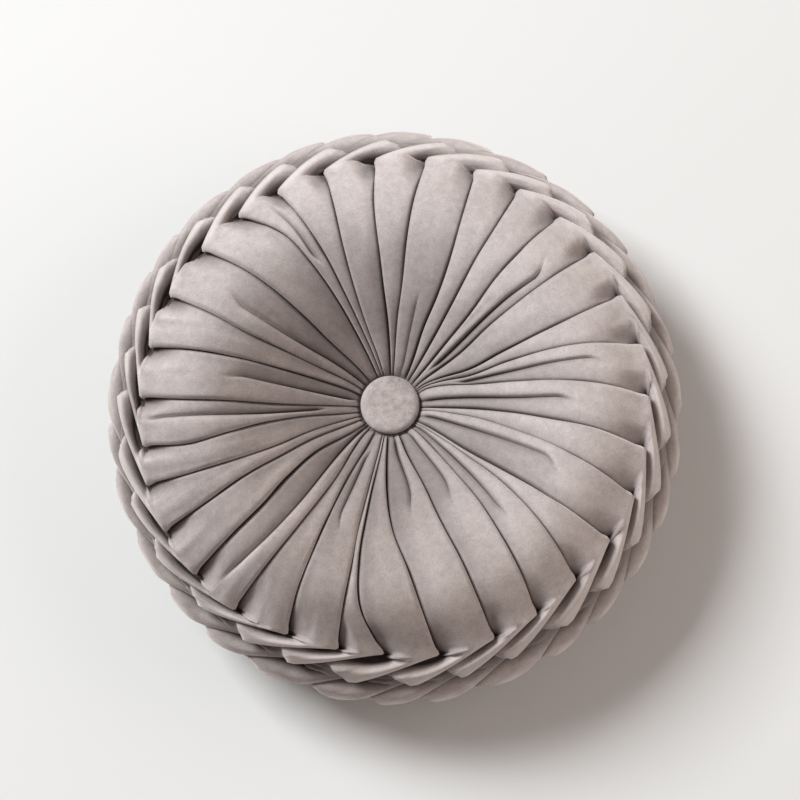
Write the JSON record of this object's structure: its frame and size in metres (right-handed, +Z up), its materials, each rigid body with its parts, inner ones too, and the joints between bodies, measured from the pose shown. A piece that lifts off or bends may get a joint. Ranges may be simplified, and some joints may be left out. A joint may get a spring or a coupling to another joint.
{
  "type": "round pleated cushion",
  "caption": "Round filled cushion, pleated on both faces, with a braided edge of slanting folds and a covered button in the middle of each face.",
  "frame": {"origin": "middle of the underside, on the surface that the cushion lies on", "axes": "+Z up through both buttons, +Y towards the top of the picture"},
  "size_m": [0.4014, 0.4068, 0.1145],
  "materials": {
    "pleated_velvet": "short-pile velvet, matt",
    "button_velvet": "short-pile velvet, matt"
  },
  "bodies": {
    "root": {"cover": "pleated_velvet", "button_top": "button_velvet", "button_back": "button_velvet"}
  },
  "joints": []
}
